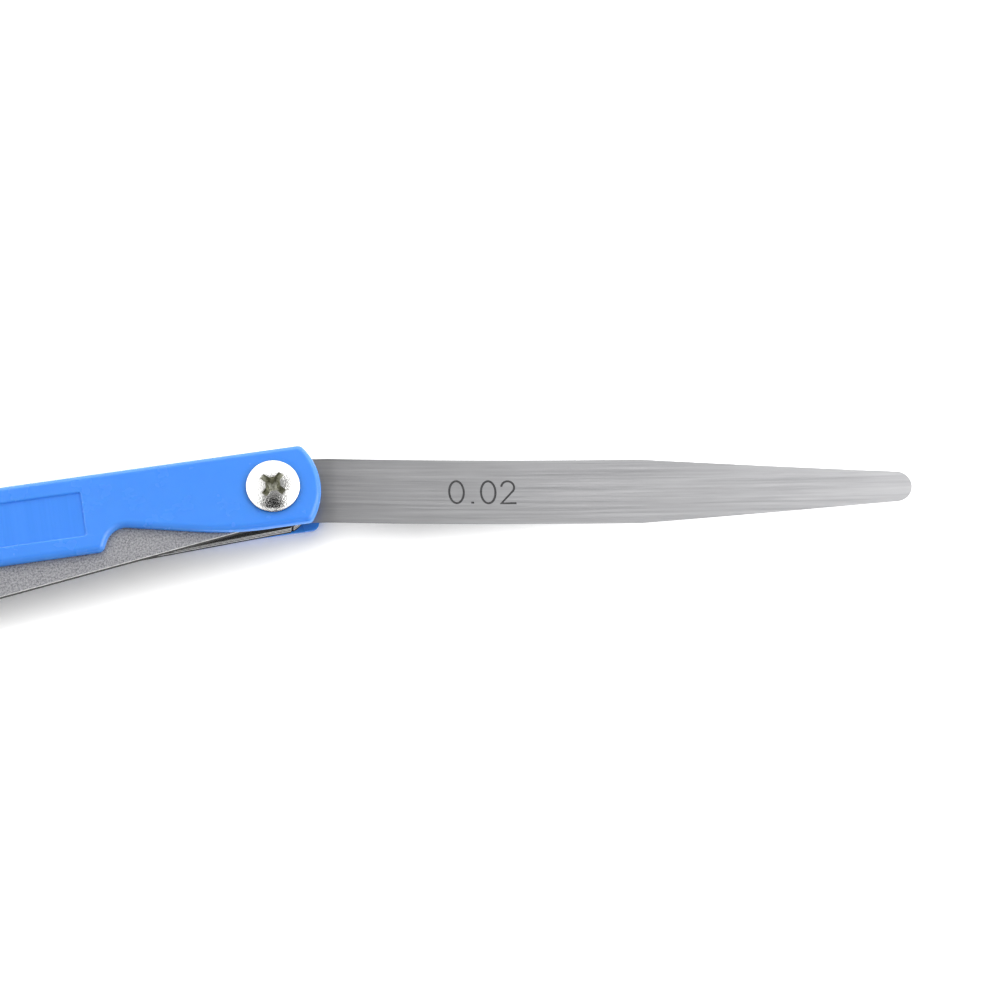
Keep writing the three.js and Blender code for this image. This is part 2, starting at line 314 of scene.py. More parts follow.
def break_edges(piece, width, wanted, segments=2):
    """Rounds off the sharp edges that wanted(edge) picks."""
    shape = bmesh.new()
    shape.from_mesh(piece.data)
    bmesh.ops.remove_doubles(shape, verts=shape.verts, dist=1e-7)
    edges = [
        edge for edge in shape.edges
        if edge.is_manifold and edge.calc_face_angle(0) > SHARP_ANGLE and wanted(edge)
    ]
    bmesh.ops.bevel(
        shape,
        geom=edges,
        offset=width,
        segments=segments,
        profile=0.5,
        affect="EDGES",
        clamp_overlap=True,
    )
    shape.to_mesh(piece.data)
    shape.free()


def at_level(z):
    """A test for edges that lie flat at a height."""
    def test(edge):
        return all(abs(v.co.z - z) < SAME for v in edge.verts)
    return test


def smooth(piece, angle=32):
    """Smooth shading whose normals follow the larger faces, so that flat faces look flat up to the edge."""
    piece.data.shade_smooth()
    piece.data.set_sharp_from_angle(angle=math.radians(angle))
    modifier = piece.modifiers.new("normals", "WEIGHTED_NORMAL")
    modifier.keep_sharp = True
    modifier.weight = 100
    graph = bpy.context.evaluated_depsgraph_get()
    mesh = bpy.data.meshes.new_from_object(piece.evaluated_get(graph))
    piece.modifiers.clear()
    piece.data = mesh


def finish_piece(piece, body, slot, *materials):
    for material in materials:
        piece.data.materials.append(material)
    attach(piece, body)
    return piece


# ---- Materials ----

class Nodes:
    """A material's node tree, with short calls for the nodes that it needs."""

    def __init__(self, name):
        self.material = bpy.data.materials.new(name)
        self.material.use_nodes = True
        self.tree = self.material.node_tree
        self.shader = self.tree.nodes["Principled BSDF"]

    def add(self, kind, settings=None, **inputs):
        node = self.tree.nodes.new(kind)
        for key, value in (settings or {}).items():
            setattr(node, key, value)
        for key, value in inputs.items():
            self.feed(node.inputs[key.replace("_", " ")], value)
        return node

    def feed(self, socket, value):
        if isinstance(value, bpy.types.NodeSocket):
            self.tree.links.new(value, socket)
        else:
            socket.default_value = value

    def set(self, **inputs):
        for key, value in inputs.items():
            self.feed(self.shader.inputs[key.replace("_", " ")], value)

    def ramp(self, factor, stops):
        """A colour ramp from (position, colour) stops, where a colour may be one grey number."""
        node = self.add("ShaderNodeValToRGB", Fac=factor)
        elements = node.color_ramp.elements
        while len(elements) < len(stops):
            elements.new(0.5)
        for element, (position, colour) in zip(elements, stops):
            element.position = position
            element.color = (*([colour] * 3 if isinstance(colour, (int, float)) else colour), 1)
        return node.outputs["Color"]

    def noise(self, vector, scale, detail=3.0, roughness=0.55):
        node = self.add(
            "ShaderNodeTexNoise", Vector=vector, Scale=scale, Detail=detail, Roughness=roughness
        )
        return node.outputs["Fac"]

    def stretched(self, vector, x, y, z=1.0):
        return self.add("ShaderNodeMapping", Vector=vector, Scale=(x, y, z)).outputs["Vector"]

    def bump(self, height, strength, distance):
        node = self.add("ShaderNodeBump", Height=height, Strength=strength, Distance=distance)
        return node.outputs["Normal"]

    def mix(self, factor, a, b):
        node = self.add("ShaderNodeMix", {"data_type": "RGBA"})
        self.feed(node.inputs["Factor"], factor)
        self.feed(node.inputs["A"], a)
        self.feed(node.inputs["B"], b)
        return node.outputs["Result"]


def plastic_material():
    m = Nodes("blue_plastic")
    place = m.add("ShaderNodeTexCoord").outputs["Object"]
    tone = m.noise(place, 90, 2)
    peel = m.noise(place, 1400, 2)
    haze = m.noise(place, 260, 3)
    m.set(
        Base_Color=m.ramp(tone, [(0.3, (0.054, 0.252, 0.84)), (0.7, (0.06, 0.262, 0.865))]),
        Roughness=m.ramp(haze, [(0.3, 0.24), (0.75, 0.29)]),
        Normal=m.bump(peel, 0.05, 0.00006),
        Subsurface_Weight=0.35,
        Subsurface_Radius=(0.2, 0.6, 1.0),
        Subsurface_Scale=0.003,
        IOR=1.49,
        Coat_Weight=0.15,
        Coat_Roughness=0.12,
    )
    return m.material


def panel_material():
    """The label panel's floor: the same plastic, a little deeper in colour, with faint lines across it."""
    m = Nodes("blue_panel")
    place = m.add("ShaderNodeTexCoord").outputs["Object"]
    lines = m.noise(m.stretched(place, 1500, 30, 30), 1, 3)
    m.set(
        Base_Color=m.ramp(lines, [(0.3, (0.043, 0.232, 0.81)), (0.7, (0.053, 0.256, 0.87))]),
        Roughness=m.ramp(lines, [(0.3, 0.28), (0.7, 0.36)]),
        Normal=m.bump(lines, 0.12, 0.00005),
        Subsurface_Weight=0.4,
        Subsurface_Radius=(0.2, 0.6, 1.0),
        Subsurface_Scale=0.002,
        IOR=1.49,
    )
    return m.material


def leaf_material():
    """Rolled steel with fine lines along the leaf, and a painted shade that darkens it near the pivot. Its
    UV map is in millimetres from the pivot.
    """
    m = Nodes("brushed_steel")
    place = m.add("ShaderNodeUVMap").outputs["UV"]
    lines = m.noise(m.stretched(place, 0.03, 2.4), 1, 4, 0.6)
    fine = m.noise(m.stretched(place, 0.16, 9), 1, 3, 0.6)
    cloud = m.noise(m.stretched(place, 0.05, 0.12), 1, 2)
    streak = m.mix(0.4, m.ramp(lines, [(0.34, 0.0), (0.66, 1.0)]), m.ramp(fine, [(0.3, 0.0), (0.7, 1.0)]))
    tone = m.mix(streak, (0.47, 0.47, 0.485, 1), (0.64, 0.64, 0.65, 1))
    clouded = m.mix(m.ramp(cloud, [(0.35, 0.0), (0.7, 0.25)]), tone, (0.52, 0.525, 0.54, 1))
    # Painted shade: the colour is darker near the pivot and lightens towards the tip.
    along = m.add("ShaderNodeSeparateXYZ", Vector=place).outputs["X"]
    reach = m.add("ShaderNodeMapRange", Value=along, From_Min=0.0, From_Max=95.0).outputs["Result"]
    painted_shade_near_pivot = m.ramp(reach, [(0.08, 0.55), (0.2, 0.72), (0.5, 0.92), (0.95, 1.0)])
    painted_shade_tone = m.add("ShaderNodeMix", {"data_type": "RGBA", "blend_type": "MULTIPLY"})
    m.feed(painted_shade_tone.inputs["Factor"], 1.0)
    m.feed(painted_shade_tone.inputs["A"], clouded)
    m.feed(painted_shade_tone.inputs["B"], painted_shade_near_pivot)
    m.set(
        Base_Color=painted_shade_tone.outputs["Result"],
        Metallic=1.0,
        Roughness=m.ramp(streak, [(0.0, 0.30), (1.0, 0.40)]),
        Normal=m.bump(lines, 0.10, 0.00002),
        Anisotropic=0.6,
        Tangent=m.add("ShaderNodeTangent", {"direction_type": "UV_MAP"}).outputs["Tangent"],
    )
    return m.material


def grained_material():
    """The thick leaf's blasted face: an even matte grain of about a tenth of a millimetre."""
    m = Nodes("grained_steel")
    place = m.add("ShaderNodeUVMap").outputs["UV"]
    grain = m.noise(place, 3.4, 4, 0.8)
    patch = m.noise(place, 0.5, 3)
    speck = m.ramp(grain, [(0.4, 0.0), (0.6, 1.0)])
    tone = m.mix(speck, (0.19, 0.19, 0.203, 1), (0.50, 0.50, 0.52, 1))
    m.set(
        Base_Color=m.mix(m.ramp(patch, [(0.4, 0.0), (0.7, 0.3)]), tone, (0.42, 0.42, 0.438, 1)),
        Metallic=1.0,
        Roughness=m.ramp(grain, [(0.3, 0.62), (0.7, 0.48)]),
        Normal=m.bump(grain, 0.45, 0.00006),
    )
    return m.material


def painted_shade_side_material():
    """Nearly black steel: painted shade on the leaves' sheared sides and lower chamfers, and a painted
    shadow ring on the screw head's rim.
    """
    m = Nodes("sheared_steel")
    place = m.add("ShaderNodeTexCoord").outputs["Object"]
    marks = m.noise(place, 2500, 4)
    m.set(
        Base_Color=m.ramp(marks, [(0.3, (0.008, 0.008, 0.007)), (0.75, (0.03, 0.029, 0.027))]),
        Metallic=1.0,
        Roughness=m.ramp(marks, [(0.3, 0.35), (0.7, 0.55)]),
        Normal=m.bump(marks, 0.2, 0.00004),
    )
    return m.material


# Painted highlight: the upward chamfers of the thicker leaves take this pale colour, while their sides and
# lower chamfers stay dark.
def painted_highlight_edge_material():
    m = Nodes("bright_edge")
    place = m.add("ShaderNodeTexCoord").outputs["Object"]
    nicks = m.noise(place, 1800, 3)
    m.set(
        Base_Color=m.ramp(nicks, [(0.3, 0.55), (0.6, 0.85)]),
        Metallic=0.3,
        Roughness=m.ramp(nicks, [(0.3, 0.6), (0.7, 0.45)]),
    )
    return m.material


def mark_material():
    m = Nodes("etched_mark")
    place = m.add("ShaderNodeTexCoord").outputs["Object"]
    wear = m.noise(place, 4000, 3)
    m.set(
        Base_Color=m.ramp(wear, [(0.35, (0.018, 0.018, 0.02)), (0.75, (0.06, 0.06, 0.062))]),
        Roughness=m.ramp(wear, [(0.3, 0.55), (0.7, 0.75)]),
        Normal=m.bump(wear, 0.2, 0.00002),
    )
    return m.material


def plated_material():
    """Bright zinc: nearly a mirror, with the faint orange peel of barrel plating."""
    m = Nodes("bright_zinc")
    place = m.add("ShaderNodeTexCoord").outputs["Object"]
    peel = m.noise(place, 3600, 3, 0.6)
    stain = m.noise(place, 420, 3)
    m.set(
        Base_Color=m.ramp(stain, [(0.35, (0.86, 0.855, 0.83)), (0.7, (0.93, 0.93, 0.92))]),
        Metallic=1.0,
        Roughness=m.ramp(peel, [(0.3, 0.05), (0.7, 0.10)]),
        Normal=m.bump(peel, 0.55, 0.00008),
    )
    return m.material


def recess_material():
    """The struck faces inside the screw's cross: rougher, with dull yellow passivation, and much darker than
    the head as a painted shade inside the recess.
    """
    m = Nodes("struck_zinc")
    place = m.add("ShaderNodeTexCoord").outputs["Object"]
    struck = m.noise(place, 2600, 4, 0.7)
    m.set(
        Base_Color=m.ramp(struck, [(0.32, (0.2, 0.2, 0.15)), (0.68, (0.68, 0.68, 0.58))]),
        Metallic=1.0,
        Roughness=m.ramp(struck, [(0.3, 0.45), (0.7, 0.28)]),
        Normal=m.bump(struck, 0.6, 0.00008),
    )
    return m.material


# The floor's painted shadow: its glow is dimmed by ambient occlusion near the object.
PAINTED_SHADOW_REACH = 0.0075
PAINTED_SHADOW_POWER = 4
PAINTED_SHADOW_FADES = (0.02, 0.05)  # along X, where the painted shadow fades out as the open leaf comes down to the floor
FLOOR_PAINTED_GLOW = 0.7


def floor_material():
    """White paper that glows where the sky is open, so that only the shadow close to the object is seen: a
    painted shadow from its glow, which fades out along X.
    """
    m = Nodes("paper_floor")
    place = m.add("ShaderNodeTexCoord").outputs["Object"]
    open_sky = m.add("ShaderNodeAmbientOcclusion", Distance=PAINTED_SHADOW_REACH).outputs["AO"]
    glow = m.add("ShaderNodeMath", {"operation": "POWER"})
    m.feed(glow.inputs[0], open_sky)
    glow.inputs[1].default_value = PAINTED_SHADOW_POWER
    along = m.add("ShaderNodeSeparateXYZ", Vector=place).outputs["X"]
    start, end = PAINTED_SHADOW_FADES
    fade = m.add("ShaderNodeMapRange", Value=along, From_Min=start, From_Max=end).outputs["Result"]
    lit = m.add("ShaderNodeMix", {"data_type": "FLOAT"})
    m.feed(lit.inputs["Factor"], fade)
    m.feed(lit.inputs["A"], glow.outputs[0])
    lit.inputs["B"].default_value = 0.9
    scaled = m.add("ShaderNodeMath", {"operation": "MULTIPLY"})
    m.feed(scaled.inputs[0], lit.outputs["Result"])
    scaled.inputs[1].default_value = FLOOR_PAINTED_GLOW
    m.set(
        Base_Color=m.ramp(m.noise(place, 300, 2), [(0.3, 0.93), (0.7, 0.95)]),
        Roughness=0.9,
        Specular_IOR_Level=0.1,
        Emission_Color=(1, 1, 1, 1),
        Emission_Strength=scaled.outputs[0],
    )
    return m.material


BLUE = plastic_material()
PANEL = panel_material()
STEEL = leaf_material()
GRAIN = grained_material()
PAINTED_SHADE_SIDES = painted_shade_side_material()
PAINTED_HIGHLIGHT_EDGE = painted_highlight_edge_material()
MARK = mark_material()
PLATED = plated_material()
STRUCK_ZINC_AND_SHADE = recess_material()


# ---- Covers ----

def cover(name, open_side):
    """One cover in place: a rounded shell, hollowed out to leave a plate, a spine and a far end block."""
    lower = name == "lower_cover"
    low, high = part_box(name)
    face = low[2] if lower else high[2]
    rise = 1 if lower else -1
    parting = high[2] if lower else high[2] - (LOWER_BOX[1][2] - LOWER_BOX[0][2])
    layers = [(COVER_EDGE_ROUND + 0.05 * MM, face)]
    for i in range(9):
        angle = math.pi / 2 * i / 8
        inset = COVER_EDGE_ROUND * (1 - math.sin(angle))
        layers.append((inset, face + rise * COVER_EDGE_ROUND * (1 - math.cos(angle))))
    layers += [(0, parting - rise * EDGE_BREAK), (EDGE_BREAK * 0.3, parting - rise * EDGE_BREAK * 0.3)]
    layers += [(EDGE_BREAK, parting), (EDGE_BREAK + 0.05 * MM, parting)]
    piece = to_object(name + "_shell", loft(cover_outline(open_side), layers if lower else layers[::-1]))
    inner = face + rise * COVER_THICKNESS
    outside = SIDE_Y + BEYOND
    cavity = polygon([
        (END_BLOCK_X, -outside, 0),
        (NOSE_X + BEYOND, -outside, 0),
        (NOSE_X + BEYOND, outside, 0),
        (SPINE_END_X, outside, 0),
        (SPINE_END_X, SPINE_INNER_Y, 0),
        (END_BLOCK_X, SPINE_INNER_Y, 1 * MM),
    ])
    levels = sorted((inner, parting + rise * BEYOND))
    hole = sorted((face - rise * BEYOND, inner + rise * BEYOND))
    cuts = [
        loft(cavity, [(0, z) for z in levels]),
        loft(circle(BARREL_HOLE_RADIUS), [(0, z) for z in hole]),
    ]
    combine(piece, cuts, "DIFFERENCE")
    return piece, face, parting, inner


def lower_cover():
    piece, face, parting, inner = cover("lower_cover", LOWER_SIDE_Y)
    pocket = hexagon(NUT_FLANGE_WIDTH + NUT_POCKET_CLEARANCE)
    cuts = [loft(pocket, [(0, face - BEYOND), (0, face + NUT_FLANGE_THICKNESS + HEAD_SEAT_GAP)])]
    for y in (-PEG_OFFSET_Y, PEG_OFFSET_Y):
        socket = circle(SOCKET_RADIUS, PEG_X, y, 32)
        cuts.append(loft(socket, [(0, parting - SOCKET_DEPTH), (0, parting + BEYOND)]))
    combine(piece, cuts, "DIFFERENCE")
    break_edges(piece, EDGE_BREAK, at_level(inner))
    smooth(piece)
    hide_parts("lower_cover")
    return finish_piece(piece, "handle", "cover_plastic", BLUE)


def upper_cover():
    piece, face, parting, inner = cover("upper_cover", SIDE_Y)
    pegs = []
    for y in (-PEG_OFFSET_Y, PEG_OFFSET_Y):
        peg = circle(PEG_RADIUS, PEG_X, y, 32)
        end = parting - PEG_LENGTH
        pegs.append(loft(peg, [(PEG_ROUND, end), (0, end + PEG_ROUND), (0, parting + PEG_RADIUS)]))
    combine(piece, pegs, "UNION")
    break_edges(piece, EDGE_BREAK, at_level(inner))
    label_end = LABEL_START_X - LABEL_LENGTH
    label = rectangle(label_end, -LABEL_WIDTH / 2, LABEL_START_X, LABEL_WIDTH / 2, LABEL_CORNER_RADIUS)
    layers = [(0.24 * MM, face - LABEL_DEPTH), (0.1 * MM, face - 0.08 * MM), (-0.08 * MM, face)]
    layers.append((-0.09 * MM, face + BEYOND))
    combine(piece, [loft(label, layers)], "DIFFERENCE")
    smooth(piece)
    for side in piece.data.polygons:
        side.material_index = 1 if abs(side.center.z - (face - LABEL_DEPTH)) < SAME else 0
    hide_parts("upper_cover")
    return finish_piece(piece, "handle", "cover_plastic", BLUE, PANEL)


# ---- Pivot ----

def hexagon(width_across_flats):
    radius = width_across_flats / 2 / math.cos(math.pi / 6)
    angles = [math.pi / 3 * i for i in range(6)]
    corners = [(radius * math.cos(a), radius * math.sin(a), NUT_CORNER_RADIUS) for a in angles]
    return polygon(corners, steps=4)


def sleeve_nut():
    """A closed hexagon flange, flush in the lower cover, with the smooth barrel that carries the leaves."""
    floor = NUT_BOX[0][2]
    top = NUT_BOX[1][2]
    flange = [
        (0.4 * MM, floor),
        (NUT_EDGE_ROUND, floor),
        (NUT_EDGE_ROUND / 4, floor + NUT_EDGE_ROUND / 4),
        (0, floor + NUT_EDGE_ROUND),
        (0, floor + NUT_FLANGE_THICKNESS),
    ]
    piece = to_object("sleeve_nut_fine", loft(hexagon(NUT_FLANGE_WIDTH), flange))
    barrel = loft(circle(BARREL_RADIUS), [(0, floor + 0.2 * MM), (0, top - 0.1 * MM), (0.1 * MM, top)])
    combine(piece, [barrel], "UNION")
    bore = loft(circle(SCREW_RADIUS + NUT_BORE_CLEARANCE), [(0, floor + NUT_BORE_FLOOR), (0, top + BEYOND)])
    below = floor - 1 * MM
    dimple = [(0, below), (DIMPLE_RADIUS, below), (DIMPLE_RADIUS, floor), (0, floor + DIMPLE_DEPTH)]
    combine(piece, [bore, turned(dimple, 48)], "DIFFERENCE")
    smooth(piece)
    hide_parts("sleeve_nut")
    return finish_piece(piece, "handle", "nut_steel", PLATED)


def wing(reach_top, reach_floor, width_top, width_floor, top, floor, turn):
    """One bar of the cross, drawn in towards its floor."""
    shape = bmesh.new()
    rings = []
    for reach, width, z in ((reach_floor, width_floor, floor), (reach_top, width_top, top)):
        corners = [(-reach, -width / 2), (reach, -width / 2), (reach, width / 2), (-reach, width / 2)]
        rings.append([shape.verts.new((x, y, z)) for x, y in corners])
    for i in range(4):
        j = (i + 1) % 4
        shape.faces.new((rings[0][i], rings[0][j], rings[1][j], rings[1][i]))
    shape.faces.new(list(reversed(rings[0])))
    shape.faces.new(rings[1])
    bmesh.ops.rotate(shape, verts=shape.verts, matrix=Matrix.Rotation(math.radians(turn), 3, "Z"))
    return shape


def pivot_screw():
    top = SCREW_BOX[1][2]
    end = SCREW_BOX[0][2]
    seat = TOP_Z + HEAD_SEAT_GAP
    rim = seat + HEAD_RIM_HEIGHT
    profile = [
        (0, end),
        (SCREW_RADIUS - SCREW_END_CHAMFER, end),
        (SCREW_RADIUS, end + SCREW_END_CHAMFER),
        (SCREW_RADIUS, seat),
        (HEAD_RADIUS - HEAD_UNDER_ROUND, seat),
        (HEAD_RADIUS - HEAD_UNDER_ROUND / 4, seat + HEAD_UNDER_ROUND / 4),
        (HEAD_RADIUS, seat + HEAD_UNDER_ROUND),
    ]
    # The dome is part of a sphere, and meets the rim in a small round.
    rise = top - rim
    dome_radius = (HEAD_RADIUS**2 + rise**2) / (2 * rise)
    for i in range(5):
        angle = math.radians(15 * i)
        inset = HEAD_EDGE_ROUND * (1 - math.cos(angle))
        profile.append((HEAD_RADIUS - inset, rim - HEAD_EDGE_ROUND * (0.85 - math.sin(angle))))
    for i in range(1, 20):
        radius = (HEAD_RADIUS - HEAD_EDGE_ROUND) * (1 - i / 20)
        profile.append((radius, top - dome_radius + math.sqrt(dome_radius**2 - radius**2)))
    profile.append((0, top))
    piece = to_object("pivot_screw_fine", turned(profile, 128))
    piece.data.materials.append(PLATED)
    floor = top - RECESS_DEPTH
    opening = top + 0.5 * MM
    widen = (opening - floor) / (top - floor)
    cuts = []
    for turn in (RECESS_TURN, RECESS_TURN + 90):
        reach_floor = RECESS_REACH * RECESS_FLOOR_REACH
        reach_top = reach_floor + (RECESS_REACH - reach_floor) * widen
        width_floor = RECESS_WING_WIDTH * RECESS_FLOOR_WIDTH
        width_top = width_floor + (RECESS_WING_WIDTH - width_floor) * widen
        cuts.append(wing(reach_top, reach_floor, width_top, width_floor, opening, floor, turn))
    core = [
        (0, floor - RECESS_POINT_DEPTH),
        (RECESS_FLOOR_RADIUS, floor),
        (RECESS_CORE_RADIUS * widen, opening),
        (0, opening),
    ]
    cuts.append(turned(core, 48))
    combine(piece, cuts, "DIFFERENCE")
    piece.data.materials.append(STRUCK_ZINC_AND_SHADE)
    piece.data.materials.append(PAINTED_SHADE_SIDES)
    for face in piece.data.polygons:
        radius = math.hypot(face.center.x, face.center.y)
        above_shank = radius < SCREW_RADIUS - 0.1 * MM or face.center.z > seat
        in_recess = face.normal.z < 0.72 or face.center.z < floor + 0.1 * MM
        if radius < RECESS_REACH * 1.08 and above_shank and in_recess and face.center.z > floor - 0.5 * MM:
            face.material_index = 1
        # The side of the head's rim takes the near-black steel: a painted shadow ring round the head.
        elif radius > HEAD_RADIUS - HEAD_EDGE_ROUND and face.center.z < rim - HEAD_EDGE_ROUND / 2:
            face.material_index = 2

    def recess_rim(edge):
        surfaces = {face.material_index for face in edge.link_faces}
        return surfaces == {0, 1} and min(v.co.z for v in edge.verts) > floor + 0.2 * MM

    break_edges(piece, RECESS_BEVEL, recess_rim)
    smooth(piece, 30)
    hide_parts("pivot_screw")
    return finish_piece(piece, "handle", "screw_plating")


# ---- Leaves ----

FOIL = "leaf_0_02"
FOIL_HELD_TO = 6.5 * MM  # the foil is gripped between its neighbours as far as this from the pivot
FOIL_BEND = 2 * MM  # it bends down over about this length
FOIL_SETTLES_OVER = 40 * MM  # and then sinks less and less steeply, by a factor of e over each such length


FOIL_TIP_HEIGHT = 0.25 * MM  # its tip stays this far above the floor


def foil_drop(x, height):
    """How far the foil has sunk at x from the pivot, out of the height that its tip sinks by."""
    tip = LEAF_LENGTH - LEAF_HEEL_RADIUS
    near, far = [
        1 - math.exp(-past**2 / (past + FOIL_BEND) / FOIL_SETTLES_OVER)
        for past in (max(0, x - FOIL_HELD_TO), tip - FOIL_HELD_TO)
    ]
    return height * near / far


def leaf_frame(node):
    """The matrix that takes a leaf from its own frame, pivot at the origin and tip at +X, to its place."""
    closed = math.radians(-JOINTS[node]["range_deg"][0])
    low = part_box(node)[0]
    return Matrix.Translation((0, 0, low[2])) @ Matrix.Rotation(math.pi + closed, 4, "Z")


def set_in_place(shape, node):
    if node == FOIL:
        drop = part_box(node)[0][2] - FOIL_TIP_HEIGHT
        for v in shape.verts:
            v.co.z -= foil_drop(v.co.x, drop)
    bmesh.ops.transform(shape, matrix=leaf_frame(node), verts=shape.verts)


def flatten_with_joint(piece):
    """Gives the piece a mesh of its own; the foil's bend is left as it is."""
    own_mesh(piece)


PAINTED_HIGHLIGHT_EDGE_FROM = 0.35 * MM  # thinner leaves get no painted highlight on their upper chamfer


def leaf(node):
    low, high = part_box(node)
    thickness = high[2] - low[2]
    break_size = min(LEAF_CHAMFER, thickness * 0.3)
    layers = [
        (break_size + 0.05 * MM, 0),
        (break_size, 0),
        (0, break_size),
        (0, thickness - break_size),
        (break_size, thickness),
        (break_size + 0.05 * MM, thickness),
    ]
    piece = to_object(node + "_steel", loft(leaf_outline(), layers))
    hole = loft(circle(LEAF_HOLE_RADIUS, steps=48), [(0, -BEYOND), (0, thickness + BEYOND)])
    combine(piece, [hole], "DIFFERENCE")
    shape = bmesh.new()
    shape.from_mesh(piece.data)
    if node == FOIL:
        for i in range(1, 60):
            cut_x = FOIL_HELD_TO + (LEAF_LENGTH - LEAF_HEEL_RADIUS - FOIL_HELD_TO) * i / 60
            geometry = shape.verts[:] + shape.edges[:] + shape.faces[:]
            bmesh.ops.bisect_plane(shape, geom=geometry, plane_co=(cut_x, 0, 0), plane_no=(1, 0, 0))
    uv = shape.loops.layers.uv.new("along_leaf")
    for face in shape.faces:
        level = abs(face.normal.z)
        # Flat faces take the face steel, upward chamfers of thick leaves the painted highlight, and sides
        # and lower chamfers the painted shade.
        upper_edge = level > 0.3 and face.normal.z > 0 and thickness > PAINTED_HIGHLIGHT_EDGE_FROM
        face.material_index = 0 if level > 0.95 else 1 if upper_edge else 2
        for loop in face.loops:
            loop[uv].uv = (loop.vert.co.x / MM, loop.vert.co.y / MM)
    set_in_place(shape, node)
    shape.to_mesh(piece.data)
    shape.free()
    smooth(piece, 25)
    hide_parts(node)
    face_steel = GRAIN if node == "leaf_1_00" else STEEL
    slot = "grained_steel" if node == "leaf_1_00" else "leaf_steel"
    finish_piece(piece, node, slot, face_steel, PAINTED_HIGHLIGHT_EDGE, PAINTED_SHADE_SIDES)
    if node == FOIL:
        flatten_with_joint(piece)
    return piece


# ---- Etched thickness marks ----

MARK_CENTRE = 30.9 * MM
DIGIT_HEIGHT = 3.45 * MM
DIGIT_WIDTH = 2.15 * MM
DIGIT_STEP = 2.95 * MM
POINT_STEP = 1.75 * MM
STROKE = 0.32 * MM
MARK_THICKNESS = 0.004 * MM
GRAINED_MARK_DROP = 0.5 * MM  # the thick leaf's mark sits nearer its lower side


def bend(x, y, rx, ry, start, end, steps=14):
    """Points along part of an ellipse, by angles in degrees, in a digit box 1 wide and 1 high."""
    angles = (math.radians(start + (end - start) * i / steps) for i in range(steps + 1))
    return [(x + rx * math.cos(a), y + ry * math.sin(a)) for a in angles]


DIGITS = {
    "0": [bend(0.5, 0.5, 0.5, 0.5, 0, 360, 32)],
    "1": [[(0.18, 0.78), (0.56, 1.0), (0.56, 0.0)]],
    "2": [bend(0.48, 0.72, 0.44, 0.28, 165, -32) + [(0.02, 0.0), (0.98, 0.0)]],
    "3": [bend(0.46, 0.745, 0.42, 0.255, 150, -90) + bend(0.46, 0.265, 0.5, 0.265, 90, -150)],
    "4": [[(1.0, 0.27), (0.0, 0.27), (0.7, 1.0), (0.7, 0.0)]],
    "5": [[(0.9, 1.0), (0.2, 1.0), (0.1, 0.52)] + bend(0.46, 0.315, 0.5, 0.315, 120, -145)],
    "6": [bend(0.5, 0.32, 0.46, 0.32, 0, 360, 28), bend(0.72, 0.36, 0.68, 0.64, 180, 100)],
    "7": [[(0.02, 1.0), (0.98, 1.0), (0.36, 0.0)]],
    "8": [bend(0.5, 0.75, 0.4, 0.25, 0, 360, 24), bend(0.5, 0.26, 0.48, 0.26, 0, 360, 28)],
    "9": [bend(0.5, 0.68, 0.46, 0.32, 0, 360, 28), bend(0.28, 0.64, 0.68, 0.64, 0, -80)],
}


def stroke(shape, path, closed):
    """A flat raised line of one stroke's width along a path of points."""
    if closed:
        path = path[:-1]
    count = len(path)
    rings = []
    for i, here in enumerate(path):
        before = path[i - 1] if closed or i > 0 else here
        after = path[(i + 1) % count] if closed or i < count - 1 else here
        toward = (here - before).normalized() if (here - before).length > 0 else (after - here).normalized()
        onward = (after - here).normalized() if (after - here).length > 0 else toward
        along = (toward + onward).normalized()
        across = Vector((-along.y, along.x)) * STROKE / 2 / max(0.5, along.dot(onward))
        end = Vector((0, 0))
        if not closed and i in (0, count - 1):
            end = along * STROKE / 2 * (-1 if i == 0 else 1)
        corners = [here + end + across, here + end - across]
        rings.append([shape.verts.new((*c, z)) for z in (0, MARK_THICKNESS) for c in corners])
    pairs = list(zip(rings, rings[1:])) + ([(rings[-1], rings[0])] if closed else [])
    for a, b in pairs:
        for i, j in ((0, 1), (1, 3), (3, 2), (2, 0)):
            shape.faces.new((a[i], a[j], b[j], b[i]))
    if not closed:
        shape.faces.new([rings[0][k] for k in (0, 2, 3, 1)])
        shape.faces.new([rings[-1][k] for k in (0, 1, 3, 2)])


def mark(node):
    """The leaf's thickness in plain figures, read with the leaf pointing right."""
    text = node.replace("leaf_", "").replace("_", ".")
    low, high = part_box(node)
    width = sum(POINT_STEP if c == "." else DIGIT_STEP for c in text)
    x = MARK_CENTRE - width / 2
    shape = bmesh.new()
    for character in text:
        step = POINT_STEP if character == "." else DIGIT_STEP
        if character == ".":
            middle = Vector((x + step / 2, -DIGIT_HEIGHT / 2 + STROKE * 0.3))
            path = [middle - Vector((STROKE * 0.2, 0)), middle + Vector((STROKE * 0.2, 0))]
            stroke(shape, path, False)
        else:
            left = x + (step - DIGIT_WIDTH) / 2
            for line in DIGITS[character]:
                path = [Vector((left + px * DIGIT_WIDTH, (py - 0.5) * DIGIT_HEIGHT)) for px, py in line]
                stroke(shape, path, (path[0] - path[-1]).length < 1e-7)
        x += step
    bmesh.ops.recalc_face_normals(shape, faces=shape.faces)
    lower = GRAINED_MARK_DROP if node == "leaf_1_00" else 0
    bmesh.ops.translate(shape, verts=shape.verts, vec=(0, -lower, high[2] - low[2]))
    set_in_place(shape, node)
    piece = to_object(node.replace("leaf_", "mark_"), shape)
    finish_piece(piece, node, "leaf_mark", MARK)
    if node == FOIL:
        flatten_with_joint(piece)
    return piece


# ---- Floor, lights and camera ----

def stage():
    bpy.ops.mesh.primitive_plane_add(size=8, location=(0, 0, FLOOR_Z))
    floor = bpy.context.object
    floor.name = "floor"
    floor.data.materials.append(floor_material())


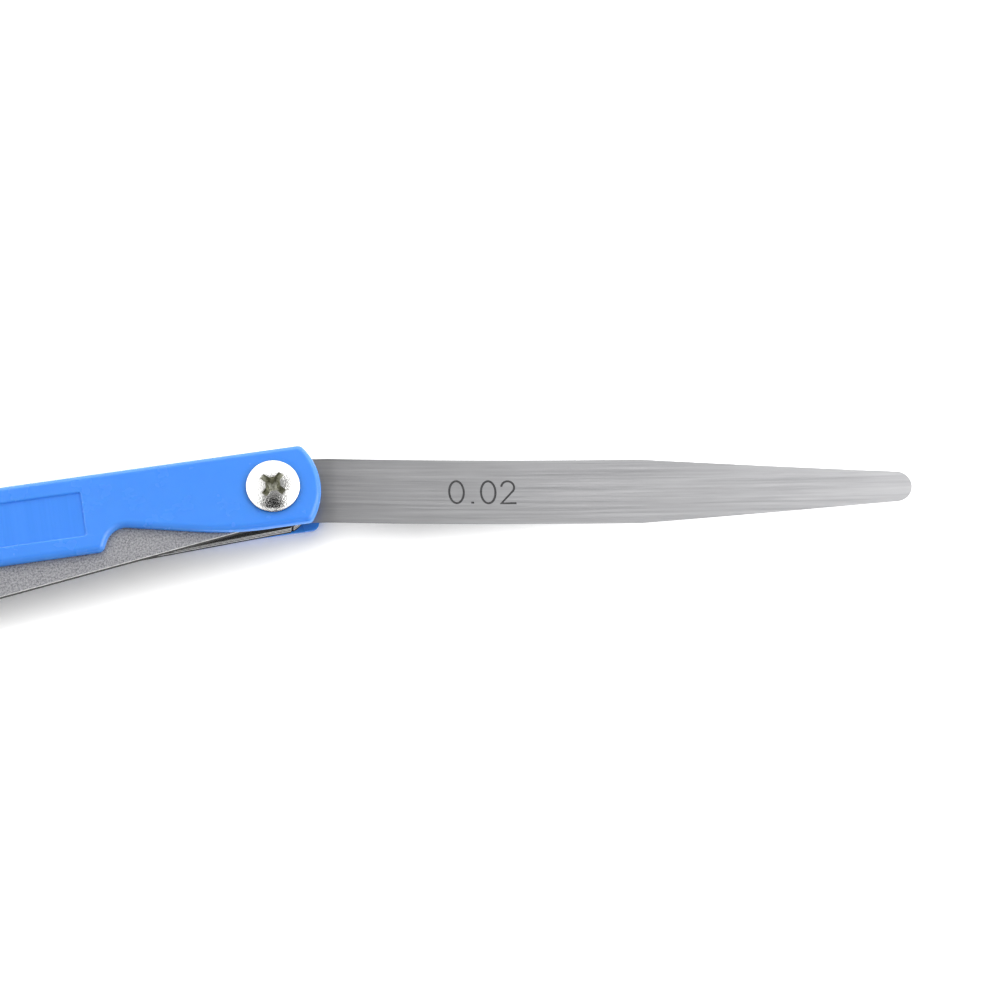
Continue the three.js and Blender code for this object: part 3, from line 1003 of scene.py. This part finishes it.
PICTURE_TURN = math.radians(8.5)  # the picture's right-hand direction, clockwise from the handle's nose
RIGHT = Vector((math.cos(PICTURE_TURN), -math.sin(PICTURE_TURN), 0))
AWAY = Vector((math.sin(PICTURE_TURN), math.cos(PICTURE_TURN), 0))
CAMERA_TILT = math.radians(19.3)
CAMERA_DISTANCE = 1.5
VIEW_WIDTH = 0.1475
LOOK_RIGHT = 33.5 * MM
LOOK_AWAY = -2.08 * MM


def camera():
    data = bpy.data.cameras.new("camera")
    data.sensor_width = 36
    data.lens = data.sensor_width * CAMERA_DISTANCE / VIEW_WIDTH
    data.clip_start = 0.01
    eye = bpy.data.objects.new("camera", data)
    bpy.context.scene.collection.objects.link(eye)
    target = RIGHT * LOOK_RIGHT + AWAY * LOOK_AWAY + Vector((0, 0, TOP_Z))
    back = Vector((0, 0, math.cos(CAMERA_TILT))) - AWAY * math.sin(CAMERA_TILT)
    up = back.cross(RIGHT)
    turn = Matrix((RIGHT, up, back)).transposed().to_4x4()
    eye.matrix_world = Matrix.Translation(target + back * CAMERA_DISTANCE) @ turn
    bpy.context.scene.camera = eye


def area_light(name, place, target, width, height, power):
    data = bpy.data.lights.new(name, "AREA")
    data.shape = "RECTANGLE"
    data.size = width
    data.size_y = height
    data.energy = power
    lamp = bpy.data.objects.new(name, data)
    bpy.context.scene.collection.objects.link(lamp)
    lamp.location = place
    lamp.rotation_euler = (Vector(target) - Vector(place)).to_track_quat("-Z", "Y").to_euler()
    lamp.visible_camera = False


# The room around the object, as round areas of even light. Each has its tilt from overhead, its heading from
# the picture's right-hand side, its half width and soft edge, all in degrees, and how bright it is.
ROOM_LIGHT = 1.25
ROOM_PANELS = [
    (22, 100, 30, 12, 0.36),  # the plain ceiling that the flat faces mirror
    (86, -90, 38, 5, 0.05),  # the unlit side behind the camera
    (14, -90, 12, 2, 0.02),  # the camera itself
    (25, -62, 11, 2, 0.02),  # and the shoulders on each side of it
    (25, -118, 11, 2, 0.02),
]


def room_panel(nodes, links, direction, under, tilt, heading, width, soft, shade):
    """Adds one round area of light to the room, and returns the socket that carries the brightness."""
    tilt, heading = math.radians(tilt), math.radians(heading)
    side = RIGHT * math.cos(heading) + AWAY * math.sin(heading)
    toward = nodes.new("ShaderNodeVectorMath")
    toward.operation = "DOT_PRODUCT"
    toward.inputs[1].default_value = Vector((0, 0, math.cos(tilt))) + side * math.sin(tilt)
    links.new(direction, toward.inputs[0])
    edge = nodes.new("ShaderNodeMapRange")
    edge.interpolation_type = "SMOOTHSTEP"
    edge.inputs["From Min"].default_value = math.cos(math.radians(width + soft))
    edge.inputs["From Max"].default_value = math.cos(math.radians(width))
    links.new(toward.outputs["Value"], edge.inputs["Value"])
    blend = nodes.new("ShaderNodeMix")
    blend.inputs["B"].default_value = shade
    links.new(edge.outputs["Result"], blend.inputs["Factor"])
    if under is None:
        blend.inputs["A"].default_value = ROOM_LIGHT
    else:
        links.new(under, blend.inputs["A"])
    return blend.outputs["Result"]


def lights():
    world = bpy.data.worlds.new("studio")
    bpy.context.scene.world = world
    world.use_nodes = True
    nodes = world.node_tree.nodes
    links = world.node_tree.links
    background = nodes["Background"]
    direction = nodes.new("ShaderNodeTexCoord").outputs["Generated"]
    level = None
    for tilt, heading, width, soft, shade in ROOM_PANELS:
        level = room_panel(nodes, links, direction, level, tilt, heading, width, soft, shade)
    links.new(level, background.inputs["Strength"])
    background.inputs["Color"].default_value = (1, 1, 1, 1)
    centre = RIGHT * 0.03
    tip = RIGHT * 0.095
    up = Vector((0, 0, 1))
    area_light("left_softbox", centre - RIGHT * 0.45 + AWAY * 0.15 + up * 0.45, centre, 0.5, 0.6, 0.8)
    area_light("right_softbox", centre + RIGHT * 0.36 + up * 0.32, centre, 0.3, 0.4, 0.9)
    area_light("tip_softbox", tip + RIGHT * 0.05 + AWAY * 0.08 + up * 0.12, tip, 0.1, 0.1, 0.03)
    area_light("back_softbox", centre + AWAY * 0.5 + up * 0.35, centre, 0.9, 0.35, 1.6)


bpy.context.scene.view_settings.view_transform = "Standard"
stage()
camera()
lights()
lower_cover()
upper_cover()
sleeve_nut()
pivot_screw()
for node in LEAVES:
    leaf(node)
    mark(node)
